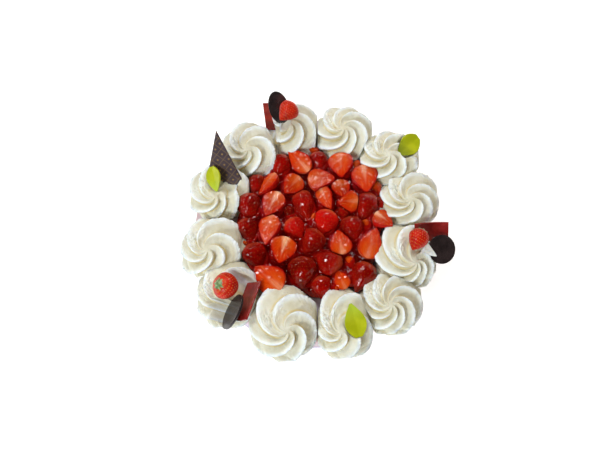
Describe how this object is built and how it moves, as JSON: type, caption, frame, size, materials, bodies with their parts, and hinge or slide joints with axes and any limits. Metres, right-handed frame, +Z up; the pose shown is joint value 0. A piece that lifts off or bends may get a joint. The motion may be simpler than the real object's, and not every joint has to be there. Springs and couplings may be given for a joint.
{
  "type": "strawberry cream tart",
  "caption": "Round pink cream tart with glazed strawberries in jelly inside a ring of piped cream rosettes, garnished with berries, chocolate pieces and sugar petals.",
  "frame": {"origin": "middle of the cream body's round base", "axes": "+Z up; -Y is the front, where the widest rosettes are; the Z axis is the cream body's axis"},
  "size_m": [0.2471, 0.2512, 0.0981],
  "materials": {
    "whipped_cream": "soft satin whipped cream",
    "pink_cream": "smooth matt pink cream",
    "strawberry_jelly": "clear wet red jelly",
    "cut_strawberry": "wet cut fruit with pale streaks",
    "strawberry_skin": "glazed dark red fruit skin with seeds",
    "fresh_strawberry": "glossy bright red fruit skin with seeds",
    "red_chocolate": "satin dark red coated chocolate",
    "dark_chocolate": "satin dark chocolate",
    "green_sugar": "satin yellow-green sugar paste"
  },
  "bodies": {
    "root": {"cream_body": "pink_cream", "cut_berry_01": "cut_strawberry", "cut_berry_03": "cut_strawberry", "cut_berry_05": "cut_strawberry", "cut_berry_06": "cut_strawberry", "cut_berry_07": "cut_strawberry", "cut_berry_08": "cut_strawberry", "cut_berry_10": "cut_strawberry", "cut_berry_11": "cut_strawberry", "cut_berry_13": "cut_strawberry", "cut_berry_15": "cut_strawberry", "cut_berry_17": "cut_strawberry", "cut_berry_18": "cut_strawberry", "cut_berry_24": "cut_strawberry", "cut_berry_25": "cut_strawberry", "cut_berry_26": "cut_strawberry", "cut_berry_29": "cut_strawberry", "cut_berry_32": "cut_strawberry", "dark_oval_1": "dark_chocolate", "dark_oval_2": "dark_chocolate", "dark_oval_3": "dark_chocolate", "dark_shard": "dark_chocolate", "green_petal_1": "green_sugar", "green_petal_2": "green_sugar", "green_petal_3": "green_sugar", "jelly": "strawberry_jelly", "red_plate_1": "red_chocolate", "red_plate_2": "red_chocolate", "red_plate_3": "red_chocolate", "rosette_01": "whipped_cream", "rosette_02": "whipped_cream", "rosette_03": "whipped_cream", "rosette_04": "whipped_cream", "rosette_05": "whipped_cream", "rosette_06": "whipped_cream", "rosette_07": "whipped_cream", "rosette_08": "whipped_cream", "rosette_09": "whipped_cream", "rosette_10": "whipped_cream", "rosette_11": "whipped_cream", "rosette_12": "whipped_cream", "round_berry_02": "strawberry_skin", "round_berry_04": "strawberry_skin", "round_berry_09": "strawberry_skin", "round_berry_12": "strawberry_skin", "round_berry_14": "strawberry_skin", "round_berry_16": "strawberry_skin", "round_berry_19": "strawberry_skin", "round_berry_20": "strawberry_skin", "round_berry_21": "strawberry_skin", "round_berry_22": "strawberry_skin", "round_berry_23": "strawberry_skin", "round_berry_27": "strawberry_skin", "round_berry_28": "strawberry_skin", "round_berry_30": "strawberry_skin", "round_berry_31": "strawberry_skin", "round_berry_33": "strawberry_skin", "strawberry_1": "fresh_strawberry", "strawberry_2": "fresh_strawberry", "strawberry_3": "fresh_strawberry"}
  },
  "joints": []
}
